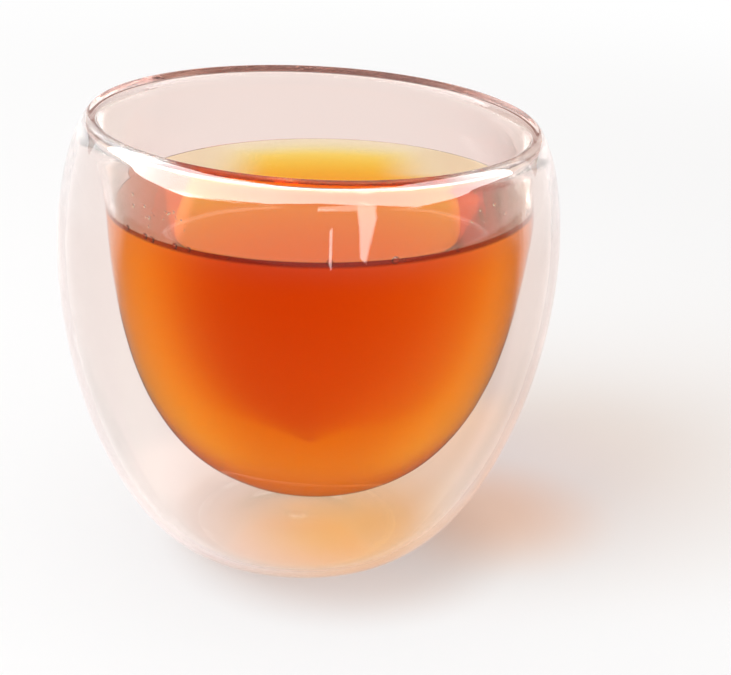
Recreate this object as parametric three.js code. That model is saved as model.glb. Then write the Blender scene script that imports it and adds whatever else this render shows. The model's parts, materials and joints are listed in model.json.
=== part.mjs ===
// A double-wall drinking glass: two blown shells that hang together from one fused rim,
// with a sealed vent in the base and a fill of amber drink.
// Millimetres, +Z up, origin on the axis at the plane that the foot ring stands on.
import * as THREE from 'three';

// Overall
const glassHeight = 78.6;
const shoulderRadius = 40.6;
const bellyBulge = 3.4;
const bellyDrop = 20;
const footRadius = 18.8;
const footRingWidth = 2.4;

// Glass
const outerThickness = 1.5;
const bowlThickness = 1.4;
const rimHeight = 3.1;
const rimCrown = 1.4;
const rimAirGap = 1.3;
const floorAirGap = 7.75;

// Fullness of the curves, as the lengths of their end tangents
const footFullness = 11.6;
const bellyFullness = 28.4;
const bellyToShoulder = 7.7;
const shoulderFullness = 4.5;
const shoulderLean = THREE.MathUtils.degToRad(26);
const bowlFloorFullness = 26.6;
const bowlMouthFullness = 45.2;

// Vent and plug
const ventRadius = 1.5;
const plugClearance = 0.15;
const plugButtonWidth = 1.2;
const plugButtonHeight = 0.5;
const plugCrown = 0.2;
const plugLift = 1.0;
const landMargin = 0.8;

// Drink
const headspace = 14;
const drinkClearance = 0.3;

// Facets
const turnSegments = 48;
const curveSteps = 14;
const shoulderSteps = 6;
const roundSteps = 5;
const roundness = 0.5523;
const samePoint = 1e-6;

// Levels and radii that follow from the sizes above
const seamHeight = glassHeight - rimHeight;
const bellyHeight = seamHeight - bellyDrop;
const bellyRadius = shoulderRadius + bellyBulge;
const shoulderInside = shoulderRadius - outerThickness / Math.cos(shoulderLean);
const bowlMouthRadius = shoulderInside - rimAirGap;
const bowlInsideRadius = bowlMouthRadius - bowlThickness;
const plugButtonRadius = ventRadius + plugButtonWidth;
const landRadius = plugButtonRadius + landMargin;
const landHeight = plugLift + plugButtonHeight;
const baseInside = landHeight + outerThickness;
const bowlBottom = baseInside + floorAirGap;
const drinkLevel = glassHeight - headspace;

const at = (radius, height) => new THREE.Vector2(radius, height);

// Points along a curve from one end to the other, each end leaving along its own handle.
function sweep(start, startHandle, endHandle, end, steps) {
  return new THREE.CubicBezierCurve(start, startHandle, endHandle, end).getPoints(steps);
}

// Joins runs of profile points and drops the point that two runs share.
function joinRuns(...runs) {
  const points = [];
  for (const run of runs) {
    for (const point of run) {
      const last = points.at(-1);
      if (!last || last.distanceTo(point) > samePoint) {
        points.push(point);
      }
    }
  }
  return points;
}

// The same profile moved sideways by a distance, to the left of its direction of travel.
function moveLeft(points, distance) {
  return points.map((point, index) => {
    const before = points[Math.max(index - 1, 0)];
    const after = points[Math.min(index + 1, points.length - 1)];
    const along = after.clone().sub(before).normalize();
    return at(point.x - along.y * distance, point.y + along.x * distance);
  });
}

// Turns a profile about the glass's axis. The profile runs with its material on its left.
function turned(name, profile, material) {
  const geometry = new THREE.LatheGeometry(profile, turnSegments);
  geometry.rotateX(Math.PI / 2);
  const mesh = new THREE.Mesh(geometry, material);
  mesh.name = name;
  return mesh;
}

const closed = (points) => [...points, points[0]];

// Outer shell
const shellOutside = joinRuns(
  sweep(
    at(footRadius, 0),
    at(footRadius + footFullness, 0),
    at(bellyRadius, bellyHeight - bellyFullness),
    at(bellyRadius, bellyHeight),
    curveSteps,
  ),
  sweep(
    at(bellyRadius, bellyHeight),
    at(bellyRadius, bellyHeight + bellyToShoulder),
    at(
      shoulderRadius + shoulderFullness * Math.sin(shoulderLean),
      seamHeight - shoulderFullness * Math.cos(shoulderLean),
    ),
    at(shoulderRadius, seamHeight),
    shoulderSteps,
  ),
);

function outerWall(material) {
  const inside = moveLeft(shellOutside, outerThickness);
  inside[0] = at(footRadius, outerThickness);
  inside[inside.length - 1] = at(shoulderInside, seamHeight);
  const footInside = footRadius - footRingWidth;
  const profile = [
    at(ventRadius, landHeight),
    at(landRadius, landHeight),
    at(footInside, 0),
    ...shellOutside,
    ...inside.reverse(),
    at(footInside, outerThickness),
    at(landRadius, baseInside),
    at(ventRadius, baseInside),
  ];
  return turned('outer_wall', closed(profile), material);
}

// Inner bowl
const bowlOutside = sweep(
  at(0, bowlBottom),
  at(bowlFloorFullness, bowlBottom),
  at(bowlMouthRadius, seamHeight - bowlMouthFullness),
  at(bowlMouthRadius, seamHeight),
  curveSteps,
);

// The bowl's outer profile moved inwards, still starting on the axis and ending at the seam.
function insideBowl(distance) {
  const inside = moveLeft(bowlOutside, distance);
  inside[0] = at(0, bowlBottom + distance);
  inside[inside.length - 1] = at(bowlMouthRadius - distance, seamHeight);
  return inside;
}

function innerBowl(material) {
  return turned('inner_bowl', [...bowlOutside, ...insideBowl(bowlThickness).reverse()], material);
}

// Fused rim: leaves the shoulder along its lean, rounds over the crown and drops into the bowl.
// The air gap between the shells ends in an arch under the crown.
function rimBead(material) {
  const crownRadius = (shoulderRadius + bowlInsideRadius) / 2;
  const crown = at(crownRadius, glassHeight);
  const rise = roundness * rimHeight;
  const outwardReach = roundness * (shoulderRadius - crownRadius);
  const inwardReach = roundness * (crownRadius - bowlInsideRadius);
  const archRadius = (bowlMouthRadius + shoulderInside) / 2;
  const archTop = at(archRadius, glassHeight - rimCrown);
  const archRise = roundness * (archTop.y - seamHeight);
  const archReach = roundness * (shoulderInside - archRadius);
  const profile = joinRuns(
    sweep(
      at(shoulderRadius, seamHeight),
      at(shoulderRadius - rise * Math.sin(shoulderLean), seamHeight + rise * Math.cos(shoulderLean)),
      at(crownRadius + outwardReach, glassHeight),
      crown,
      roundSteps,
    ),
    sweep(
      crown,
      at(crownRadius - inwardReach, glassHeight),
      at(bowlInsideRadius, seamHeight + rise),
      at(bowlInsideRadius, seamHeight),
      roundSteps,
    ),
    sweep(
      at(bowlMouthRadius, seamHeight),
      at(bowlMouthRadius, seamHeight + archRise),
      at(archRadius - archReach, archTop.y),
      archTop,
      roundSteps,
    ),
    sweep(
      archTop,
      at(archRadius + archReach, archTop.y),
      at(shoulderInside, seamHeight + archRise),
      at(shoulderInside, seamHeight),
      roundSteps,
    ),
  );
  return turned('rim_bead', closed(profile), material);
}

// Plug: a drop of glass that seals the vent, with a domed button under the base and a stem through it.
function ventPlug(material) {
  const stemRadius = ventRadius - plugClearance;
  const button = sweep(
    at(0, plugLift),
    at(roundness * plugButtonRadius, plugLift),
    at(plugButtonRadius, landHeight - roundness * plugButtonHeight),
    at(plugButtonRadius, landHeight),
    roundSteps,
  );
  const crown = sweep(
    at(stemRadius, baseInside),
    at(stemRadius, baseInside + roundness * plugCrown),
    at(roundness * stemRadius, baseInside + plugCrown),
    at(0, baseInside + plugCrown),
    roundSteps,
  );
  return turned('vent_plug', [...button, at(stemRadius, landHeight), ...crown], material);
}

// Drink: fills the bowl up to its level, a little clear of the glass.
function drinkFill(material) {
  const side = insideBowl(bowlThickness + drinkClearance);
  const above = side.findIndex((point) => point.y >= drinkLevel);
  const below = side[above - 1];
  const share = (drinkLevel - below.y) / (side[above].y - below.y);
  const edge = below.clone().lerp(side[above], share);
  const profile = [...side.slice(0, above), edge, at(0, drinkLevel)];
  return turned('drink', profile, material);
}

const glass = new THREE.MeshStandardMaterial({
  color: 0xf2e4de, roughness: 0.03, metalness: 0, transparent: true, opacity: 0.35,
});
const amber = new THREE.MeshStandardMaterial({
  color: 0xc75a12, roughness: 0.02, metalness: 0, transparent: true, opacity: 0.85,
});

const doubleWallGlass = new THREE.Group();
doubleWallGlass.add(
  outerWall(glass),
  innerBowl(glass),
  rimBead(glass),
  ventPlug(glass),
  drinkFill(amber),
);

export default doubleWallGlass;
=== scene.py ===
import json
import math

import bmesh
import bpy
from mathutils import Matrix, Vector
from mathutils.geometry import interpolate_bezier

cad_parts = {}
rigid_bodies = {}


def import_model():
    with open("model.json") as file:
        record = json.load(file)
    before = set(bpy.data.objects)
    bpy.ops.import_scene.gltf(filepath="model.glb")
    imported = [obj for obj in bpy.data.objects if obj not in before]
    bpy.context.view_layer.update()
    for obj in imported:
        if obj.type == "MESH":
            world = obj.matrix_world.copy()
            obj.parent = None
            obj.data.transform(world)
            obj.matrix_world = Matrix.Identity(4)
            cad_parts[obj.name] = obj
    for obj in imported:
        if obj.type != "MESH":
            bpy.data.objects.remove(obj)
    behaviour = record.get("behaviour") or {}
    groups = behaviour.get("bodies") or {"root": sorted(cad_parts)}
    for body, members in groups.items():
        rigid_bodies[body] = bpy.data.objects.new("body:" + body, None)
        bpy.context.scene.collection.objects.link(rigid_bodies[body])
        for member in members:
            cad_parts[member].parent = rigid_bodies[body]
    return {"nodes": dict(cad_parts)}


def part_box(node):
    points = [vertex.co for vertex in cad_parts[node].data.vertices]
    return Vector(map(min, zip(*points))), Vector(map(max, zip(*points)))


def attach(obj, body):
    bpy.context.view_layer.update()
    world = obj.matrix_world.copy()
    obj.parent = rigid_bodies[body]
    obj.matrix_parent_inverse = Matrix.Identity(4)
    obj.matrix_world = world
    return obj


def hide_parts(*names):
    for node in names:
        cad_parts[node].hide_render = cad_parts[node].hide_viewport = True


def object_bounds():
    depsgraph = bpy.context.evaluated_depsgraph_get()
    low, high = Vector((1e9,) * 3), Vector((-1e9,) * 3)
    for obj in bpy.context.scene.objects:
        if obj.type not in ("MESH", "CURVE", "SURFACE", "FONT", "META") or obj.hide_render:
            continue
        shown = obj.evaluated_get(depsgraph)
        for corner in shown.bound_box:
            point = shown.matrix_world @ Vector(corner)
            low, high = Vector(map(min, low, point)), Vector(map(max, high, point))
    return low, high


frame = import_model()
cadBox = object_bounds()
scene = bpy.context.scene
mm = 0.001
samePoint = 1e-7
black = (0, 0, 0, 1)
white = (1, 1, 1, 1)
print("frame loaded:", ", ".join(sorted(frame["nodes"])))


# Wire wraps a socket, so that node maths reads as plain arithmetic
class Wire:
    def __init__(self, tree, socket=None):
        self.tree = tree
        self.socket = socket

    def node(self, kind, settings=None, sockets=None, out=0):
        made = self.tree.nodes.new(kind)
        for name, value in (settings or {}).items():
            setattr(made, name, value)
        for name, value in (sockets or {}).items():
            self.feed(made.inputs[name], value)
        return Wire(self.tree, made.outputs[out] if made.outputs else None)

    def feed(self, socket, value):
        if isinstance(value, Wire):
            self.tree.links.new(value.socket, socket)
        else:
            socket.default_value = value

    def sibling(self, name):
        return Wire(self.tree, self.socket.node.outputs[name])

    def maths(self, operation, first, second=0.0):
        return self.node("ShaderNodeMath", {"operation": operation}, {0: first, 1: second})

    def step(self, start, full, low=0.0, high=1.0):
        return self.node(
            "ShaderNodeMapRange", {"interpolation_type": "SMOOTHSTEP"},
            {"Value": self, "From Min": start, "From Max": full, "To Min": low, "To Max": high},
        )

    def __add__(self, other):
        return self.maths("ADD", self, other)

    def __radd__(self, other):
        return self.maths("ADD", other, self)

    def __sub__(self, other):
        return self.maths("SUBTRACT", self, other)

    def __rsub__(self, other):
        return self.maths("SUBTRACT", other, self)

    def __mul__(self, other):
        return self.maths("MULTIPLY", self, other)

    def __rmul__(self, other):
        return self.maths("MULTIPLY", other, self)

    def __truediv__(self, other):
        return self.maths("DIVIDE", self, other)

    def __rtruediv__(self, other):
        return self.maths("DIVIDE", other, self)


def newMaterial(name):
    material = bpy.data.materials.new(name)
    material.use_nodes = True
    material.node_tree.nodes.clear()
    return material, Wire(material.node_tree)


def shaderOut(wire, surface, volume=None):
    sockets = {"Surface": surface}
    if volume:
        sockets["Volume"] = volume
    wire.node("ShaderNodeOutputMaterial", None, sockets)


# Object coordinates, whole and as X, Y and Z
def objectPlace(wire):
    place = wire.node("ShaderNodeTexCoord", None, None, "Object")
    x = wire.node("ShaderNodeSeparateXYZ", None, {0: place})
    return place, x, x.sibling("Y"), x.sibling("Z")


# How many surfaces of one kind a view has met on its way
def pathDepth(wire, kind):
    return wire.node("ShaderNodeLightPath", None, None, kind + " Depth")


def near(wire, value, middle, width):
    return wire.node("ShaderNodeMath", {"operation": "COMPARE"}, {0: value, 1: middle, 2: width})


def distance(wire, place, point):
    return wire.node("ShaderNodeVectorMath", {"operation": "DISTANCE"}, {0: place, 1: point}, "Value")


def tinted(wire, colour, tint):
    return wire.node("ShaderNodeVectorMath", {"operation": "MULTIPLY"}, {0: colour, 1: tint})


def mixed(wire, share, first, second):
    return wire.node("ShaderNodeMixShader", None, {0: share, 1: first, 2: second})


def tones(wire, share, first, second):
    return wire.node("ShaderNodeMix", {"data_type": "RGBA"}, {0: share, 6: first, 7: second}, 2)


# Camera
camSize = {
    "distance": 305.5 * mm,
    "elevation": 21.57,
    "yaw": 2.037,
    "pitch": -0.2135,
    "roll": 2.62,
    "focal": 1691.6,      # in pixels of the photograph's frame
    "frameWidth": 731,
    "sensor": 36.0,
    "clip": (0.01, 50),
}


def makeCamera():
    low, high = cadBox
    target = (low + high) / 2
    rise = math.radians(camSize["elevation"])
    back = Vector((0, -math.cos(rise), math.sin(rise)))
    place = target + back * camSize["distance"]
    forward = -back
    right = Vector((1, 0, 0))
    up = right.cross(forward)
    yaw = math.radians(camSize["yaw"])
    forward, right = (
        forward * math.cos(yaw) + right * math.sin(yaw),
        right * math.cos(yaw) - forward * math.sin(yaw),
    )
    pitch = math.radians(camSize["pitch"])
    forward, up = (
        forward * math.cos(pitch) + up * math.sin(pitch),
        up * math.cos(pitch) - forward * math.sin(pitch),
    )
    roll = math.radians(camSize["roll"])
    right, up = (
        right * math.cos(roll) + up * math.sin(roll),
        up * math.cos(roll) - right * math.sin(roll),
    )
    data = bpy.data.cameras.new("camera")
    data.sensor_width = camSize["sensor"]
    data.lens = camSize["sensor"] * camSize["focal"] / camSize["frameWidth"]
    data.clip_start, data.clip_end = camSize["clip"]
    camera = bpy.data.objects.new("camera", data)
    scene.collection.objects.link(camera)
    turn = Matrix((right, up, -forward)).transposed()
    camera.matrix_world = Matrix.Translation(place) @ turn.to_4x4()
    scene.camera = camera


makeCamera()
scene.view_settings.view_transform = "Standard"
print("camera placed")


# Profiles: lists of (radius, height)
def curveRun(start, startHandle, endHandle, end, steps):
    ends = [Vector(p) for p in (start, startHandle, endHandle, end)]
    return [Vector(p[:2]) for p in interpolate_bezier(*ends, steps)]


def movedLeft(points, distance):
    moved = []
    for i, point in enumerate(points):
        before = points[max(i - 1, 0)]
        after = points[min(i + 1, len(points) - 1)]
        along = (after - before).normalized()
        moved.append(point + Vector((-along.y, along.x)) * distance)
    return moved


def joined(*runs):
    points = []
    for run in runs:
        for point in run:
            point = Vector(point)
            if not points or (points[-1] - point).length > samePoint:
                points.append(point)
    return points


# A turned piece: a profile swept round the Z axis by Geometry Nodes
def turnTree():
    tree = bpy.data.node_groups.new("turnProfile", "GeometryNodeTree")
    tree.interface.new_socket("Geometry", in_out="INPUT", socket_type="NodeSocketGeometry")
    tree.interface.new_socket("Segments", in_out="INPUT", socket_type="NodeSocketInt")
    tree.interface.new_socket("Sideways", in_out="INPUT", socket_type="NodeSocketFloat")
    tree.interface.new_socket("Slope", in_out="INPUT", socket_type="NodeSocketFloat")
    tree.interface.new_socket("Finish", in_out="INPUT", socket_type="NodeSocketMaterial")
    tree.interface.new_socket("Geometry", in_out="OUTPUT", socket_type="NodeSocketGeometry")
    start = Wire(tree).node("NodeGroupInput")
    segments = start.sibling("Segments")
    count = start.node("GeometryNodeAttributeDomainSize", None, {"Geometry": start})
    grid = start.node(
        "GeometryNodeMeshGrid", None,
        {"Size X": 1.0, "Size Y": 1.0, "Vertices X": segments + 1, "Vertices Y": count},
    )
    index = start.node("GeometryNodeInputIndex")
    around = start.maths("FLOOR", (index + 0.5) / count)
    along = index - around * count
    here = start.node("GeometryNodeInputPosition")
    sample = start.node(
        "GeometryNodeSampleIndex", {"data_type": "FLOAT_VECTOR"},
        {"Geometry": start, "Value": here, "Index": along},
    )
    split = start.node("ShaderNodeSeparateXYZ", None, {0: sample})      # x radius, y hang, z height
    lean = start.node("GeometryNodeInputNamedAttribute", {"data_type": "FLOAT"}, {"Name": "lean"})
    leanHere = start.node(
        "GeometryNodeSampleIndex", {"data_type": "FLOAT"}, {"Geometry": start, "Value": lean, "Index": along},
    )
    angle = around * (2 * math.pi) / segments
    across = split * start.maths("COSINE", angle) + split.sibling("Y") * start.sibling("Sideways")
    place = start.node(
        "ShaderNodeCombineXYZ", None,
        {
            "X": across,
            "Y": split * start.maths("SINE", angle),
            "Z": split.sibling("Z") + across * leanHere * start.sibling("Slope"),
        },
    )
    shape = start.node("GeometryNodeSetPosition", None, {"Geometry": grid, "Position": place})
    shape = start.node("GeometryNodeMergeByDistance", None, {"Geometry": shape, "Distance": samePoint})
    shape = start.node("GeometryNodeSetShadeSmooth", None, {"Geometry": shape})
    shape = start.node("GeometryNodeRealizeInstances", None, {"Geometry": shape})
    shape = start.node(
        "GeometryNodeSetMaterial", None,
        {"Geometry": shape, "Material": start.sibling("Finish")},
    )
    start.node("NodeGroupOutput", None, {"Geometry": shape})
    return tree


def setInputs(modifier, values):
    for item in modifier.node_group.interface.items_tree:
        if item.in_out == "INPUT" and item.name in values:
            modifier[item.identifier] = values[item.name]


def baked(piece):
    graph = bpy.context.evaluated_depsgraph_get()
    mesh = bpy.data.meshes.new_from_object(piece.evaluated_get(graph), depsgraph=graph)
    piece.modifiers.clear()
    old = piece.data
    piece.data = mesh
    bpy.data.meshes.remove(old)
    mesh.name = piece.name
    shape = bmesh.new()
    shape.from_mesh(mesh)
    if shape.calc_volume(signed=True) < 0:
        bmesh.ops.reverse_faces(shape, faces=shape.faces)
    shape.to_mesh(mesh)
    shape.free()
    return piece


turnGroup = turnTree()


# hang says how far each profile point follows the bowl sideways, lean how far it follows the sloping level
def turned(name, profile, hang, segments, material, lean=None):
    mesh = bpy.data.meshes.new(name)
    edges = [(i, i + 1) for i in range(len(profile) - 1)]
    mesh.from_pydata([(p.x, h, p.y) for p, h in zip(profile, hang)], edges, [])
    mesh.attributes.new("lean", "FLOAT", "POINT").data.foreach_set("value", lean or [0.0] * len(profile))
    piece = bpy.data.objects.new(name, mesh)
    scene.collection.objects.link(piece)
    modifier = piece.modifiers.new("turn", "NODES")
    modifier.node_group = turnGroup
    setInputs(modifier, {
        "Segments": segments,
        "Sideways": glassSize["bowlSideways"],
        "Slope": glassSize["levelSlope"],
        "Finish": material,
    })
    return baked(piece)


# Takes a turned cavity out of a turned body: both are closed, so the cavity's faces turn round
def hollowed(body, cavity):
    shape = bmesh.new()
    shape.from_mesh(cavity.data)
    bmesh.ops.reverse_faces(shape, faces=shape.faces)
    shape.from_mesh(body.data)
    shape.to_mesh(body.data)
    shape.free()
    old = cavity.data
    bpy.data.objects.remove(cavity)
    bpy.data.meshes.remove(old)
    return body


# Glass: two walls, rim, foot and sealed vent, fused into one body round its air gap
glassSize = {
    "outerThickness": 1.5 * mm,
    "bowlThickness": 1.4 * mm,
    "rimCrown": 1.4 * mm,
    "footRadius": 18.8 * mm,
    "footRingWidth": 2.4 * mm,
    "footFullness": 11.6 * mm,
    "bellyDrop": 20 * mm,
    "bellyFullness": 28.4 * mm,
    "bellyToShoulder": 7.7 * mm,
    "shoulderFullness": 4.5 * mm,
    "shoulderLean": math.radians(26),
    "bowlFloorFullness": 26.6 * mm,
    "bowlMouthFullness": 45.2 * mm,
    "bowlSideways": 1.65 * mm,      # the blown bowl hangs a little off the axis
    "hangDepth": 14 * mm,
    "levelSlope": 0.040,      # the glass leans a little, and the drink stays level
    "plugSwell": 0.12 * mm,
    "landRadius": 3.5 * mm,
    "landHeight": 1.5 * mm,
    "roundness": 0.5523,
    "rimEase": 0.35,      # fuller would split the rim's reflection in two
    "wallSteps": 52,
    "shoulderSteps": 20,
    "rimSteps": 14,
    "smallSteps": 8,
    "segments": 160,
}
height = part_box("rim_bead")[1].z
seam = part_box("outer_wall")[1].z
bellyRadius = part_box("outer_wall")[1].x
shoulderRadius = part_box("rim_bead")[1].x
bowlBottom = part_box("inner_bowl")[0].z
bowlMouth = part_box("inner_bowl")[1].x
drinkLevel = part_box("drink")[1].z


def shellOutside():
    g = glassSize
    belly = seam - g["bellyDrop"]
    lean = g["shoulderLean"]
    foot = g["footRadius"]
    lower = curveRun(
        (foot, 0), (foot + g["footFullness"], 0),
        (bellyRadius, belly - g["bellyFullness"]), (bellyRadius, belly), g["wallSteps"],
    )
    reach = g["shoulderFullness"]
    upper = curveRun(
        (bellyRadius, belly), (bellyRadius, belly + g["bellyToShoulder"]),
        (shoulderRadius + reach * math.sin(lean), seam - reach * math.cos(lean)),
        (shoulderRadius, seam), g["shoulderSteps"],
    )
    return joined(lower, upper)


def bowlSurface(distance):
    g = glassSize
    outside = curveRun(
        (0, bowlBottom), (g["bowlFloorFullness"], bowlBottom),
        (bowlMouth, seam - g["bowlMouthFullness"]), (bowlMouth, seam), g["wallSteps"],
    )
    surface = movedLeft(outside, distance)
    surface[0] = Vector((0, bowlBottom + distance))
    surface[-1] = Vector((bowlMouth - distance, seam))
    return surface


def rimOver():
    g = glassSize
    inner = bowlMouth - g["bowlThickness"]
    crown = (shoulderRadius + inner) / 2
    rise = g["roundness"] * (height - seam)
    lean = g["shoulderLean"]
    outwards = curveRun(
        (shoulderRadius, seam),
        (shoulderRadius - rise * math.sin(lean), seam + rise * math.cos(lean)),
        (crown + g["rimEase"] * (shoulderRadius - crown), height), (crown, height), g["rimSteps"],
    )
    inwards = curveRun(
        (crown, height), (crown - g["roundness"] * (crown - inner), height),
        (inner, seam + rise), (inner, seam), g["rimSteps"],
    )
    return joined(outwards, inwards)


# The air gap ends in an arch under the rim's crown
def rimArch(gapEdge):
    g = glassSize
    top = height - g["rimCrown"]
    mid = (bowlMouth + gapEdge) / 2
    rise = g["roundness"] * (top - seam)
    reach = g["roundness"] * (gapEdge - mid)
    upwards = curveRun(
        (bowlMouth, seam), (bowlMouth, seam + rise), (mid - reach, top), (mid, top), g["smallSteps"],
    )
    downwards = curveRun(
        (mid, top), (mid + reach, top), (gapEdge, seam + rise), (gapEdge, seam), g["smallSteps"],
    )
    return joined(upwards, downwards)


def hangShare(point):
    share = min(max((seam - point.y) / glassSize["hangDepth"], 0), 1)
    return share * share * (3 - 2 * share)


# Underside of the base from the axis to the foot ring, or the same run on its inside
def basePunt(lift, swell):
    g = glassSize
    land = g["landHeight"] + lift
    footInside = g["footRadius"] - g["footRingWidth"]
    mid = (footInside + g["landRadius"]) / 2
    half = g["landRadius"] / 2
    seal = curveRun(
        (0, land + swell), (half, land + swell), (half, land), (g["landRadius"], land), g["smallSteps"],
    )
    punt = curveRun(
        (g["landRadius"], land), (mid, land), (mid, lift), (footInside, lift), 2 * g["smallSteps"],
    )
    return joined(seal, punt)


def makeGlass(material):
    g = glassSize
    bowlIn = bowlSurface(g["bowlThickness"])
    skin = joined(basePunt(0, -g["plugSwell"]), shellOutside(), rimOver())
    body = turned(
        "glass_body", joined(skin, reversed(bowlIn)),
        [0] * len(skin) + [hangShare(p) for p in reversed(bowlIn)][1:], g["segments"], material,
    )
    bowlOut = bowlSurface(0.0)
    shellIn = movedLeft(shellOutside(), g["outerThickness"])
    shellIn[0] = Vector((g["footRadius"], g["outerThickness"]))
    gapEdge = shoulderRadius - g["outerThickness"] / math.cos(g["shoulderLean"])
    shellIn[-1] = Vector((gapEdge, seam))
    inside = basePunt(g["outerThickness"], g["plugSwell"])
    rest = joined(rimArch(gapEdge), reversed(shellIn), reversed(inside))[1:]
    cavity = turned(
        "air_gap", joined(bowlOut, rest),
        [hangShare(p) for p in bowlOut] + [0] * len(rest), g["segments"], material,
    )
    return hollowed(body, cavity)


# Lamps shine through the surface: its shadow is only tinted
def lampsThrough(wire, shader, tint):
    byLamp = wire.node("ShaderNodeLightPath", None, None, "Is Shadow Ray")
    return mixed(wire, byLamp, shader, wire.node("ShaderNodeBsdfTransparent", None, {"Color": tint}))


glassLook = {
    "ior": 1.47,
    "tint": (0.98, 0.917, 0.892, 1),
    "specular": (0.04, 0.04, 0.04, 1),      # head-on reflections are faint, grazing ones stay
    "shadow": (0.925, 0.868, 0.825, 1),
    "coatFrom": (61 * mm, 68 * mm),      # the shoulder and the rim shine more than the belly
    "coatFront": (0.0, -12 * mm),
    "coat": 0.8,
    "sideShadeTint": ((0.94, 0.872, 0.848, 1), (0.935, 0.85, 0.815, 1)),      # painted shade: the glass is tinted darker at its sides; left, right
    "sideOut": (28 * mm, 36 * mm),
    "upperShadeTint": (0.958, 0.877, 0.849, 1),      # painted shade: the back above the drink is tinted darker
    "upperFrom": (52 * mm, 62 * mm),
    "upperBack": (5 * mm, 15 * mm),
    "paleFrom": 1.5,      # painted glow: light that the walls guide this often is painted as glow, pale at the sides and red in front
    "redFrom": 2.5,
    "guidedTo": 9.5,
    "guidedSides": (-2 * mm, 3 * mm),
    "guidedFront": (0.0, -6 * mm),
    "guidedPaleGlow": ((0.18, 0.172, 0.169, 1), (0.165, 0.146, 0.139, 1)),      # left, right
    "guidedRedGlow": (0.11, 0.007, 0.0005, 1),
    "spentShadeTint": ((0.25, 0.08, 0.06, 1), (0.1, 0.004, 0.001, 1)),      # painted shade: views guided further see the glass dark; in glass, past the drink
    "spentDepth": 2.5,
    "waveScale": 110.0,      # uneven blown walls
    "waveDepth": 0.02 * mm,
    "waveDetail": 1.0,
    "smudgeScale": 60.0,
    "smudgeDetail": 3.0,
    "smudgeFrom": (0.58, 0.78),
    "smudge": 0.035,
}


def noise(wire, place, scale, detail):
    return wire.node("ShaderNodeTexNoise", None, {"Vector": place, "Scale": scale, "Detail": detail})


def waves(wire, place, look):
    swell = noise(wire, place, look["waveScale"], look["waveDetail"])
    return wire.node("ShaderNodeBump", None, {"Distance": look["waveDepth"], "Height": swell})


def clearGlass():
    g = glassLook
    material, wire = newMaterial("clearGlass")
    place, x, y, z = objectPlace(wire)
    shine = z.step(*g["coatFrom"]) * y.step(*g["coatFront"]) * g["coat"]
    turns = pathDepth(wire, "Glossy")
    early = wire.maths("LESS_THAN", pathDepth(wire, "Ray"), g["guidedTo"])
    out = wire.maths("ABSOLUTE", x)
    onRight = wire.maths("GREATER_THAN", x, 0.0)
    sides = (out - wire.maths("ABSOLUTE", y)).step(*g["guidedSides"])
    red = wire.maths("GREATER_THAN", turns, g["redFrom"]) * early
    red = red * y.step(*g["guidedFront"]) * (1.0 - sides)
    pale = wire.maths("GREATER_THAN", turns, g["paleFrom"]) * early * sides
    # painted glow for views that the walls have guided
    glow = tones(wire, red, black, g["guidedRedGlow"])
    glow = tones(wire, pale, glow, tones(wire, onRight, *g["guidedPaleGlow"]))
    # painted shade: darker tint at the sides
    tint = tones(wire, out.step(*g["sideOut"]), g["tint"], tones(wire, onRight, *g["sideShadeTint"]))
    # painted shade: darker at the back above the drink
    tint = tones(wire, z.step(*g["upperFrom"]) * y.step(*g["upperBack"]), tint, g["upperShadeTint"])
    # painted shade for views that the walls guide further still
    pastDrink = wire.maths("GREATER_THAN", pathDepth(wire, "Transmission"), g["spentDepth"])
    spent = tones(wire, pastDrink, *g["spentShadeTint"])
    tint = tones(wire, wire.maths("GREATER_THAN", turns, g["guidedTo"]), tint, spent)
    smudge = noise(wire, place, g["smudgeScale"], g["smudgeDetail"]).step(*g["smudgeFrom"]) * g["smudge"]
    shader = wire.node("ShaderNodeBsdfPrincipled", None, {
        "Base Color": tint,
        "Roughness": smudge,
        "IOR": g["ior"],
        "Specular Tint": g["specular"],
        "Transmission Weight": 1.0,
        "Coat Weight": shine,
        "Coat Roughness": 0.0,
        "Emission Color": glow,
        "Emission Strength": 1.0,
        "Normal": waves(wire, place, g),
    })
    shaderOut(wire, lampsThrough(wire, shader, g["shadow"]))
    return material


glassFinish = clearGlass()
glassBody = makeGlass(glassFinish)
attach(glassBody, "root")
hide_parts("outer_wall", "inner_bowl", "rim_bead", "vent_plug")
print("glass body:", len(glassBody.data.polygons), "faces")


# Drink
drinkSize = {
    "overlap": 0.12 * mm,
    "climb": 0.25 * mm,
    "crispEdge": 0.02 * mm,
    "climbWidth": 1.7 * mm,
    "leanDepth": 12 * mm,
    "segments": 160,
    "surfaceSteps": 40,
}


def drinkProfile():
    g = drinkSize
    side = bowlSurface(glassSize["bowlThickness"] - g["overlap"])
    top = drinkLevel + g["climb"]
    below = [p for p in side if p.y < top]
    upper = side[len(below)]
    share = (top - below[-1].y) / (upper.y - below[-1].y)
    edge = below[-1].lerp(upper, share)
    surface = []
    steps = g["surfaceSteps"]
    for i in range(steps + 1):
        inward = edge.x * (i / steps) ** 2
        lift = g["climb"] * math.exp(-inward / g["climbWidth"])
        surface.append((edge.x - inward, drinkLevel + lift))
    crisp = below[-1].lerp(edge, 1 - g["crispEdge"] / (edge - below[-1]).length)
    return joined(below, [crisp, edge], surface)


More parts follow.
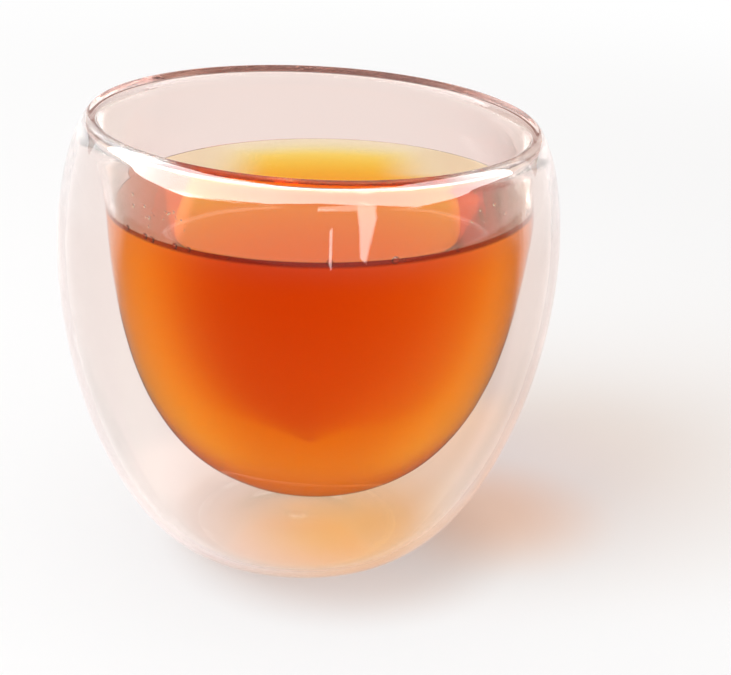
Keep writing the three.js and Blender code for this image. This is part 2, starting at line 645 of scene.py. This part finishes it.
drinkLook = {
    "ior": 1.333,
    "specular": (0.1, 0.1, 0.1, 1),
    "absorbed": (0.979, 0.781, 0.0, 1),
    "density": 155.0,
    "waveScale": 55.0,
    "waveDepth": 0.06 * mm,
    "waveDetail": 1.0,
    "edgeShadeColour": (0.18, 0.07, 0.08, 1),      # painted shade: the edge that climbs the front of the bowl is painted dark
    "edgeRise": (-1.0 * mm, -0.4 * mm),
    "edgeFront": (2 * mm, -8 * mm),
    "upright": 0.5,
    "wallEnds": (21 * mm, 23.5 * mm),      # painted glow: seen through the wall, the level glows brown at its ends and faintly in the middle
    "wallGlow": ((0.44, 0.21, 0.115, 1), (0.3, 0.1, 0.05, 1)),      # left, right
    "wallMiddle": (0.05, 0.055, 0.01, 1),
    "byWall": (4.0, 0.5),      # surfaces met on the way there, and how near that count has to be
    "sheen": (0.8, 0.61, 0.4, 1),      # painted sheen, as glow: seen low over the rim, the level's ends and far edge are painted cream
    "sheenShare": 0.95,
    "sheenEnds": (9 * mm, 21.5 * mm),
    "sheenBack": (8 * mm, 14 * mm),
    "sheenFar": (25 * mm, 35 * mm),
    "sheenFarShare": 0.75,
    "sheenLow": (0.3, 0.6),
    "fromAbove": (0.0, 0.5),
}


def amberDrink():
    g = drinkLook
    material, wire = newMaterial("amberDrink")
    place, x, y, z = objectPlace(wire)
    facing = wire.node("ShaderNodeNewGeometry", None, None, "True Normal")
    upward = wire.node("ShaderNodeSeparateXYZ", None, {0: facing}, "Z")
    # painted shade along the edge that climbs the front of the bowl
    edge = (z - x * glassSize["levelSlope"] - drinkLevel).step(*g["edgeRise"])
    edge = edge * y.step(*g["edgeFront"]) * wire.maths("LESS_THAN", upward, g["upright"])
    depth = pathDepth(wire, "Ray")
    flat = wire.maths("GREATER_THAN", upward, g["upright"])
    aside = wire.maths("ABSOLUTE", x - glassSize["bowlSideways"])
    # painted glow at the level, seen through the wall
    byWall = flat * near(wire, depth, *g["byWall"])
    brown = tones(wire, wire.maths("GREATER_THAN", x, 0.0), *g["wallGlow"])
    brown = tones(wire, aside.step(*g["wallEnds"]), g["wallMiddle"], brown)
    glow = tones(wire, byWall, black, brown)
    # painted sheen at the level's ends and far edge, seen low over the rim
    ends = aside.step(*g["sheenEnds"]) * wire.maths("ABSOLUTE", y).step(*g["sheenBack"])
    far = distance(wire, tinted(wire, place, (1, 1, 0)), (glassSize["bowlSideways"], 0, 0))
    sheen = wire.maths("MAXIMUM", ends * g["sheenShare"], far.step(*g["sheenFar"]) * g["sheenFarShare"])
    low = wire.node("ShaderNodeLayerWeight", None, None, "Facing")
    sheen = sheen * flat * near(wire, depth, *g["fromAbove"]) * low.step(*g["sheenLow"])
    glow = tones(wire, sheen, glow, g["sheen"])
    body = tones(wire, edge, white, g["edgeShadeColour"])
    covered = sheen * (2.0 - sheen)      # the shader takes the root of its base colour
    shader = wire.node("ShaderNodeBsdfPrincipled", None, {
        "Base Color": tones(wire, covered, body, black),
        "Roughness": 0.0,
        "IOR": g["ior"],
        "Specular Tint": g["specular"],
        "Transmission Weight": 1.0,
        "Emission Color": glow,
        "Emission Strength": 1.0,
        "Normal": waves(wire, place, g),
    })
    inside = wire.node("ShaderNodeVolumeAbsorption", None, {"Color": g["absorbed"], "Density": g["density"]})
    shaderOut(wire, lampsThrough(wire, shader, white), inside)
    return material


def leanShare(point):
    share = min(max(1 - (drinkLevel - point.y) / drinkSize["leanDepth"], 0), 1)
    return share * share * (3 - 2 * share)


drinkShape = drinkProfile()
drink = turned(
    "drink_fill", drinkShape, [hangShare(p) for p in drinkShape], drinkSize["segments"], amberDrink(),
    [leanShare(p) for p in drinkShape],
)
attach(drink, "root")
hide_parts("drink")
print("drink:", len(drink.data.polygons), "faces")


# Drops on the bowl above the drink, and bubbles along its edge
dropSize = {
    "finish": {
        "ior": 1.333, "tint": (1, 0.8, 0.72, 1),
        "waveScale": 900.0, "waveDepth": 0.01 * mm, "waveDetail": 1.0,
    },
    "mist_left": {
        "turn": (-57, -33), "rise": (66.2 * mm, 72.4 * mm), "count": 26, "size": (0.1 * mm, 0.42 * mm),
    },
    "mist_right": {
        "turn": (40, 72), "rise": (67.5 * mm, 73 * mm), "count": 24, "size": (0.1 * mm, 0.36 * mm),
    },
    "edge_bubbles": {
        "turn": (-62, 42), "rise": (64.5 * mm, 64.9 * mm), "count": 7, "size": (0.3 * mm, 0.8 * mm),
    },
    "firstSeed": 3,
    "flat": 0.6,
    "patchSteps": 24,
    "roundness": 2,
}


def scatterTree():
    tree = bpy.data.node_groups.new("scatterDrops", "GeometryNodeTree")
    tree.interface.new_socket("Geometry", in_out="INPUT", socket_type="NodeSocketGeometry")
    tree.interface.new_socket("Density", in_out="INPUT", socket_type="NodeSocketFloat")
    tree.interface.new_socket("Seed", in_out="INPUT", socket_type="NodeSocketInt")
    tree.interface.new_socket("Smallest", in_out="INPUT", socket_type="NodeSocketFloat")
    tree.interface.new_socket("Largest", in_out="INPUT", socket_type="NodeSocketFloat")
    tree.interface.new_socket("Flat", in_out="INPUT", socket_type="NodeSocketFloat")
    tree.interface.new_socket("Finish", in_out="INPUT", socket_type="NodeSocketMaterial")
    tree.interface.new_socket("Geometry", in_out="OUTPUT", socket_type="NodeSocketGeometry")
    start = Wire(tree).node("NodeGroupInput")
    seed = start.sibling("Seed")
    points = start.node(
        "GeometryNodeDistributePointsOnFaces", {"distribute_method": "RANDOM"},
        {"Mesh": start, "Density": start.sibling("Density"), "Seed": seed},
    )
    chance = start.node("FunctionNodeRandomValue", {"data_type": "FLOAT"}, {"Seed": seed + 1}, 1)
    smallest = start.sibling("Smallest")
    size = smallest + chance * chance * (start.sibling("Largest") - smallest)
    scale = start.node(
        "ShaderNodeCombineXYZ", None, {"X": size, "Y": size, "Z": size * start.sibling("Flat")},
    )
    drop = start.node(
        "GeometryNodeMeshIcoSphere", None, {"Radius": 1.0, "Subdivisions": dropSize["roundness"]},
    )
    shape = start.node(
        "GeometryNodeInstanceOnPoints", None,
        {"Points": points, "Instance": drop, "Rotation": points.sibling("Rotation"), "Scale": scale},
    )
    shape = start.node("GeometryNodeRealizeInstances", None, {"Geometry": shape})
    shape = start.node("GeometryNodeSetShadeSmooth", None, {"Geometry": shape})
    shape = start.node(
        "GeometryNodeSetMaterial", None, {"Geometry": shape, "Material": start.sibling("Finish")},
    )
    start.node("NodeGroupOutput", None, {"Geometry": shape})
    return tree


# A strip of the bowl's inside, turned from the front by degrees
def bowlStrip(name, turn, rise):
    inside = bowlSurface(glassSize["bowlThickness"])
    steps = dropSize["patchSteps"]
    corners = []
    for level in rise:
        above = next(i for i, p in enumerate(inside) if p.y >= level)
        low, high = inside[above - 1], inside[above]
        edge = low.lerp(high, (level - low.y) / (high.y - low.y))
        for i in range(steps + 1):
            angle = math.radians(turn[0] + (turn[1] - turn[0]) * i / steps)
            across = math.sin(angle) * edge.x + hangShare(edge) * glassSize["bowlSideways"]
            slope = across * glassSize["levelSlope"] * leanShare(edge)
            corners.append((across, -math.cos(angle) * edge.x, edge.y + slope))
    faces = [(i, i + steps + 1, i + steps + 2, i + 1) for i in range(steps)]
    mesh = bpy.data.meshes.new(name)
    mesh.from_pydata(corners, [], faces)
    piece = bpy.data.objects.new(name, mesh)
    scene.collection.objects.link(piece)
    return piece


def dropWater():
    g = dropSize["finish"]
    material, wire = newMaterial("dropWater")
    place = wire.node("ShaderNodeTexCoord", None, None, "Object")
    shader = wire.node("ShaderNodeBsdfPrincipled", None, {
        "Base Color": g["tint"],
        "Roughness": 0.0,
        "IOR": g["ior"],
        "Transmission Weight": 1.0,
        "Normal": waves(wire, place, g),
    })
    shaderOut(wire, lampsThrough(wire, shader, white))
    return material


def makeDrops(name, seed, group, material):
    g = dropSize[name]
    piece = bowlStrip(name, g["turn"], g["rise"])
    area = sum(face.area for face in piece.data.polygons)
    modifier = piece.modifiers.new("scatter", "NODES")
    modifier.node_group = group
    setInputs(modifier, {
        "Density": g["count"] / area,
        "Seed": seed,
        "Smallest": g["size"][0],
        "Largest": g["size"][1],
        "Flat": dropSize["flat"],
        "Finish": material,
    })
    piece = baked(piece)
    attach(piece, "root")
    print(name + ":", len(piece.data.polygons), "faces")


dropFinish = dropWater()
dropGroup = scatterTree()
for dropSeed, dropName in enumerate(("mist_left", "mist_right", "edge_bubbles"), dropSize["firstSeed"]):
    makeDrops(dropName, dropSeed, dropGroup, dropFinish)


# Stage: white all round. A pair is where an effect begins and where it is full
stageSize = {
    "floor": 6.0,
    "floorColour": (0.92, 0.92, 0.92, 1),
    "contactShadowColour": (0.64, 0.51, 0.45, 1),      # painted shadow: where the glass shades the floor under its foot
    "contactPlace": (0.008, -0.006, 0),
    "contactReach": (0.035, 0.018),
    "contactClear": 0.9,
    "warmShadeTint": (1.06, 0.81, 0.66),      # painted shade: the shade beside the foot, warm from the drink
    "warmPlace": (0.036, 0.007, 0),
    "warmReach": (0.029, 0.003),
    "underLightTint": (1.14, 1.1, 1.08),      # painted light: under the foot, seen through the glass, the floor is lighter
    "underReach": (0.05, 0.035),
    "underFront": (-0.026, -0.014),
    "besideLightTint": (1.3, 1.13, 0.92),      # painted light: beside the foot, seen through the glass, the floor is lighter and warmer
    "besidePlace": (0.036, 0.03, 0),
    "besideReach": (0.04, 0.014),
    "poolGlowColour": (1.0, 0.57, 0.2, 1),      # painted pool of light, as glow: light that the drink gathers under the glass
    "poolPlace": (0.012, -0.006, 0),
    "poolReach": (0.034, 0.004),
    "poolShare": 0.95,
    "whiteShare": 0.42,
    "whiteFar": (0.18, 0.6),      # where the floor starts to turn white, and is white
    "ambient": 0.53,
    "ambientColour": (1.0, 0.94, 0.9, 1),
    "behindNearby": (1.22, 1.48, 1.5, 1),      # painted light: what views through the drink find behind it, brighter than the floor
    "behindFar": (1.05, 1.35, 1.05, 1),
    "behindAslant": (1.21, 1.9, 0.85, 1),
    "behindAside": (0.1, 0.4),
    "behindAway": (0.5, 0.7),
    "behindNear": (0.13, 0.09),
    "behindRise": (0.5, 0.1),
    "midShadeColour": (0.75, 0.3, 0.2, 1),      # painted shade: through the middle of the drink the floor behind is painted darker and redder, so the drink looks deepest there
    "midShare": 0.5,
    "midPlace": 0.012,
    "midWidth": (0.05, 0.0),
    "midFrom": (0.1, 0.15),
    "frontFloor": (-0.03, -0.045),      # painted shade: dim in front, as mirrored by the walls
    "frontSlant": 0.35,
    "frontDim": 0.88,
    "bowlDim": 0.8,
    "bowlFront": (0.12, 0.07),
    "frontWorld": (0.1, -0.4),
    "worldDim": 0.6,
    "topDim": 0.7,      # painted shade: dim behind, as mirrored by the drink's level
    "topBack": (0.1, 0.3),
    "topWidth": (0.5, 0.2),
    "rimShadeColour": (0.53, 0.27, 0.225, 1),      # painted shade: the brown that the back of the rim shows
    "rimShare": 0.9,
    "byGlass": 0.5,      # from here on, how many surfaces a view has passed
    "byBowl": (4.0, 0.5),
    "byDrink": 5.5,
    "byBody": 9.5,
    "byTop": 3.5,
    "byRim": (1.5, 2.5),      # more turns than this, and fewer surfaces
    "mirroredOnce": (1.0, 0.5),
    "bounces": 128,
}


# Seen by the camera, straight or through and off the glass
def seenShare(wire):
    path = wire.node("ShaderNodeLightPath", None, None, "Is Camera Ray")
    seen = path + path.sibling("Is Glossy Ray") + path.sibling("Is Transmission Ray")
    return wire.maths("MINIMUM", seen, 1.0)


def passed(wire, limit):
    return wire.maths("GREATER_THAN", pathDepth(wire, "Transmission"), stageSize[limit])


def onceMirrored(wire):
    return near(wire, pathDepth(wire, "Glossy"), *stageSize["mirroredOnce"])


# One reflection on the way, in front of the drink
def frontShare(wire):
    return onceMirrored(wire) * (1.0 - passed(wire, "byDrink"))


# Guided through the back of the rim, turned twice on the way
def rimShare(wire):
    turns, surfaces = stageSize["byRim"]
    guided = wire.maths("GREATER_THAN", pathDepth(wire, "Glossy"), turns)
    return guided * wire.maths("LESS_THAN", pathDepth(wire, "Transmission"), surfaces)


def emission(wire, colour):
    return wire.node("ShaderNodeEmission", None, {"Color": colour})


# The floor beside and under the glass, lit by the lamp, with painted shadow, shade and light on it
def nearFloor(wire, place, y, out, seen):
    s = stageSize
    byGlass = passed(wire, "byGlass")
    # painted shadow round the foot
    contact = distance(wire, place, s["contactPlace"]).step(*s["contactReach"])
    colour = tones(wire, contact * (1.0 - byGlass * s["contactClear"]), s["floorColour"], s["contactShadowColour"])
    # painted warm shade beside the foot
    warm = distance(wire, place, s["warmPlace"]).step(*s["warmReach"]) * (1.0 - byGlass)
    tint = tones(wire, warm, white, (*s["warmShadeTint"], 1))
    # painted light under the foot, seen through the glass
    under = out.step(*s["underReach"]) * y.step(*s["underFront"]) * byGlass
    tint = tones(wire, under, tint, (*s["underLightTint"], 1))
    # painted light beside the foot, seen through the glass
    beside = distance(wire, place, s["besidePlace"]).step(*s["besideReach"]) * byGlass
    tint = tones(wire, beside, tint, (*s["besideLightTint"], 1))
    lit = wire.node("ShaderNodeBsdfDiffuse", None, {"Color": tinted(wire, colour, tint)})
    shown = mixed(wire, seen * out.step(*s["whiteFar"], s["whiteShare"]), lit, emission(wire, tint))
    # painted pool of light under the glass, as glow
    pooled = distance(wire, place, s["poolPlace"]).step(*s["poolReach"]) * byGlass * s["poolShare"]
    return mixed(wire, seen * pooled, shown, emission(wire, s["poolGlowColour"]))


# The floor as views through the drink find it, painted lighter, with painted shade in the middle
def floorBehind(wire, x, y, out):
    s = stageSize
    behind = tones(wire, out.step(*s["whiteFar"]), white, s["behindFar"])
    slant = (wire.maths("ABSOLUTE", x) / out).step(*s["behindAside"]) * (y / out).step(*s["behindAway"])
    behind = tones(wire, slant * passed(wire, "byBody"), behind, s["behindAslant"])
    behind = tones(wire, out.step(*s["behindNear"]), behind, s["behindNearby"])
    # painted shade in the middle
    middle = wire.maths("ABSOLUTE", x - s["midPlace"]).step(*s["midWidth"])
    middle = middle * y.step(*s["midFrom"]) * s["midShare"]
    return tones(wire, middle, behind, s["midShadeColour"])


def paleFloor():
    s = stageSize
    material, wire = newMaterial("paleFloor")
    place, x, y, _ = objectPlace(wire)
    seen = seenShare(wire)
    out = distance(wire, place, (0, 0, 0))
    shown = nearFloor(wire, place, y, out, seen)
    shown = mixed(wire, seen * passed(wire, "byDrink"), shown, emission(wire, floorBehind(wire, x, y, out)))
    # painted shade: the floor dimmed where the walls mirror it
    ahead = (y - s["frontSlant"] * wire.maths("MAXIMUM", x, 0.0)).step(*s["frontFloor"])
    byBowl = near(wire, pathDepth(wire, "Transmission"), *s["byBowl"]) * y.step(*s["bowlFront"])
    dim = frontShare(wire) * wire.maths("MAXIMUM", ahead * s["frontDim"], byBowl * s["bowlDim"])
    shown = mixed(wire, seen * dim, shown, emission(wire, black))
    # painted shade: the floor brown where the back of the rim guides views
    shown = mixed(wire, seen * rimShare(wire) * s["rimShare"], shown, emission(wire, s["rimShadeColour"]))
    shaderOut(wire, shown)
    return material


def makeFloor():
    half = stageSize["floor"] / 2
    mesh = bpy.data.meshes.new("floor")
    corners = [(-half, -half, 0), (half, -half, 0), (half, half, 0), (-half, half, 0)]
    mesh.from_pydata(corners, [], [(0, 1, 2, 3)])
    mesh.materials.append(paleFloor())
    floor = bpy.data.objects.new("floor", mesh)
    scene.collection.objects.link(floor)


def makeWorld():
    s = stageSize
    world = bpy.data.worlds.new("studio")
    scene.world = world
    world.use_nodes = True
    world.node_tree.nodes.clear()
    wire = Wire(world.node_tree)
    room = wire.node("ShaderNodeBackground", None, {"Color": s["ambientColour"], "Strength": s["ambient"]})
    dark = wire.node("ShaderNodeBackground", None, {"Color": black})
    way = wire.node("ShaderNodeTexCoord", None, None, "Generated")
    x = wire.node("ShaderNodeSeparateXYZ", None, {0: way})
    y, z = x.sibling("Y"), x.sibling("Z")
    aside = wire.maths("ABSOLUTE", x)
    slant = aside.step(*s["behindAside"]) * y.step(*s["behindAway"])
    # painted light: the world as views through the drink find it
    behind = tones(wire, slant * passed(wire, "byBody"), s["behindFar"], s["behindAslant"])
    behind = tones(wire, z.step(*s["behindRise"]) * passed(wire, "byDrink"), white, behind)
    light = mixed(wire, seenShare(wire), room, wire.node("ShaderNodeBackground", None, {"Color": behind}))
    # painted shade: the world dimmed in front, and behind where the drink's level mirrors it
    ahead = y.step(*s["frontWorld"]) * frontShare(wire) * s["worldDim"]
    offTop = onceMirrored(wire) * passed(wire, "byTop") * y.step(*s["topBack"]) * aside.step(*s["topWidth"])
    light = mixed(wire, wire.maths("MAXIMUM", ahead, offTop * s["topDim"]), light, dark)
    wire.node("ShaderNodeOutputWorld", None, {"Surface": light})


makeFloor()
makeWorld()
print("floor and backdrop ready")

# Cards that only mirrored views see. A station round the glass is an azimuth, the lowest and the highest
# elevation, and the share of the glow where it isn't all
cardSize = {
    "reach": 0.8,
    "centre": (0, 0, 0.06),
    "wallDepth": 2.5,      # only the outer wall mirrors the cards
    "litDepth": 0.5,      # and they light nothing
    "rimBand": {
        "glow": 15.5,
        "stations": [
            (-115, 14, 44), (-60, 20, 46), (-20, 29, 45, 0.95), (0, 32.5, 44, 0.85), (20, 31.5, 45, 0.8),
            (50, 24.5, 46, 0.76), (110, 14, 50, 0.7),
        ],
    },
    "windowHead": {"glow": 6.0, "stations": [(3, 27, 30), (31, 27, 31)]},
    "windowPost": {"glow": 6.0, "stations": [(8.4, 0, 13), (9.6, -2, 15)]},
    "windowPane": {"glow": 6.0, "stations": [(21.5, 2, 31), (24, 0, 31), (30, 20, 31)]},
    "backShade": {"glow": (0.30, 0.15, 0.12), "stations": [(125, 4, 50), (180, 4, 50), (235, 4, 50)]},
}


def cardGlow(glow):
    material, wire = newMaterial("cardGlow")
    clear = wire.node("ShaderNodeBsdfTransparent")
    share = wire.node("ShaderNodeAttribute", {"attribute_name": "share"}, None, "Fac")
    shine = emission(wire, tones(wire, share, black, (*glow, 1)))
    byWall = wire.maths("LESS_THAN", pathDepth(wire, "Transmission"), cardSize["wallDepth"])
    direct = wire.maths("LESS_THAN", pathDepth(wire, "Diffuse"), cardSize["litDepth"])
    mirrored = wire.maths("MINIMUM", pathDepth(wire, "Glossy"), 1.0)
    shaderOut(wire, mixed(wire, byWall * direct * mirrored, clear, shine))
    return material


def makeCard(name, card):
    corners = []
    shares = []
    for azimuth, lowest, highest, *share in card["stations"]:
        for elevation in (lowest, highest):
            turn, rise = math.radians(azimuth), math.radians(elevation)
            level = math.cos(rise)
            way = Vector((math.sin(turn) * level, -math.cos(turn) * level, math.sin(rise)))
            corners.append(Vector(cardSize["centre"]) + way * cardSize["reach"])
            shares.append(share[0] if share else 1.0)
    faces = [(i, i + 1, i + 3, i + 2) for i in range(0, len(corners) - 2, 2)]
    mesh = bpy.data.meshes.new(name)
    mesh.from_pydata(corners, [], faces)
    mesh.attributes.new("share", "FLOAT", "POINT").data.foreach_set("value", shares)
    glow = card["glow"] if isinstance(card["glow"], tuple) else (card["glow"],) * 3
    mesh.materials.append(cardGlow(glow))
    piece = bpy.data.objects.new(name, mesh)
    scene.collection.objects.link(piece)
    piece.visible_camera = False
    piece.visible_diffuse = False
    piece.visible_shadow = False


for cardName in ("rimBand", "windowHead", "windowPost", "windowPane", "backShade"):
    makeCard(cardName, cardSize[cardName])

lampSize = {
    "place": (-1.24, -0.84, 1.24),
    "aim": (0, 0.1, 0),
    "size": 1.2,
    "power": 37.0,
    "colour": (1.0, 1.04, 1.07),
}


def makeLamp():
    data = bpy.data.lights.new("key", "AREA")
    data.energy = lampSize["power"]
    data.color = lampSize["colour"]
    data.size = lampSize["size"]
    light = bpy.data.objects.new("key", data)
    scene.collection.objects.link(light)
    light.visible_glossy = False
    light.visible_transmission = False
    place = Vector(lampSize["place"])
    turn = (Vector(lampSize["aim"]) - place).to_track_quat("-Z", "Y")
    light.matrix_world = Matrix.Translation(place) @ turn.to_matrix().to_4x4()


makeLamp()
# Light runs a long way inside the walls before it leaves them
scene.cycles.max_bounces = stageSize["bounces"]
scene.cycles.transmission_bounces = stageSize["bounces"]
scene.cycles.glossy_bounces = stageSize["bounces"]
print("cards and lamp ready")
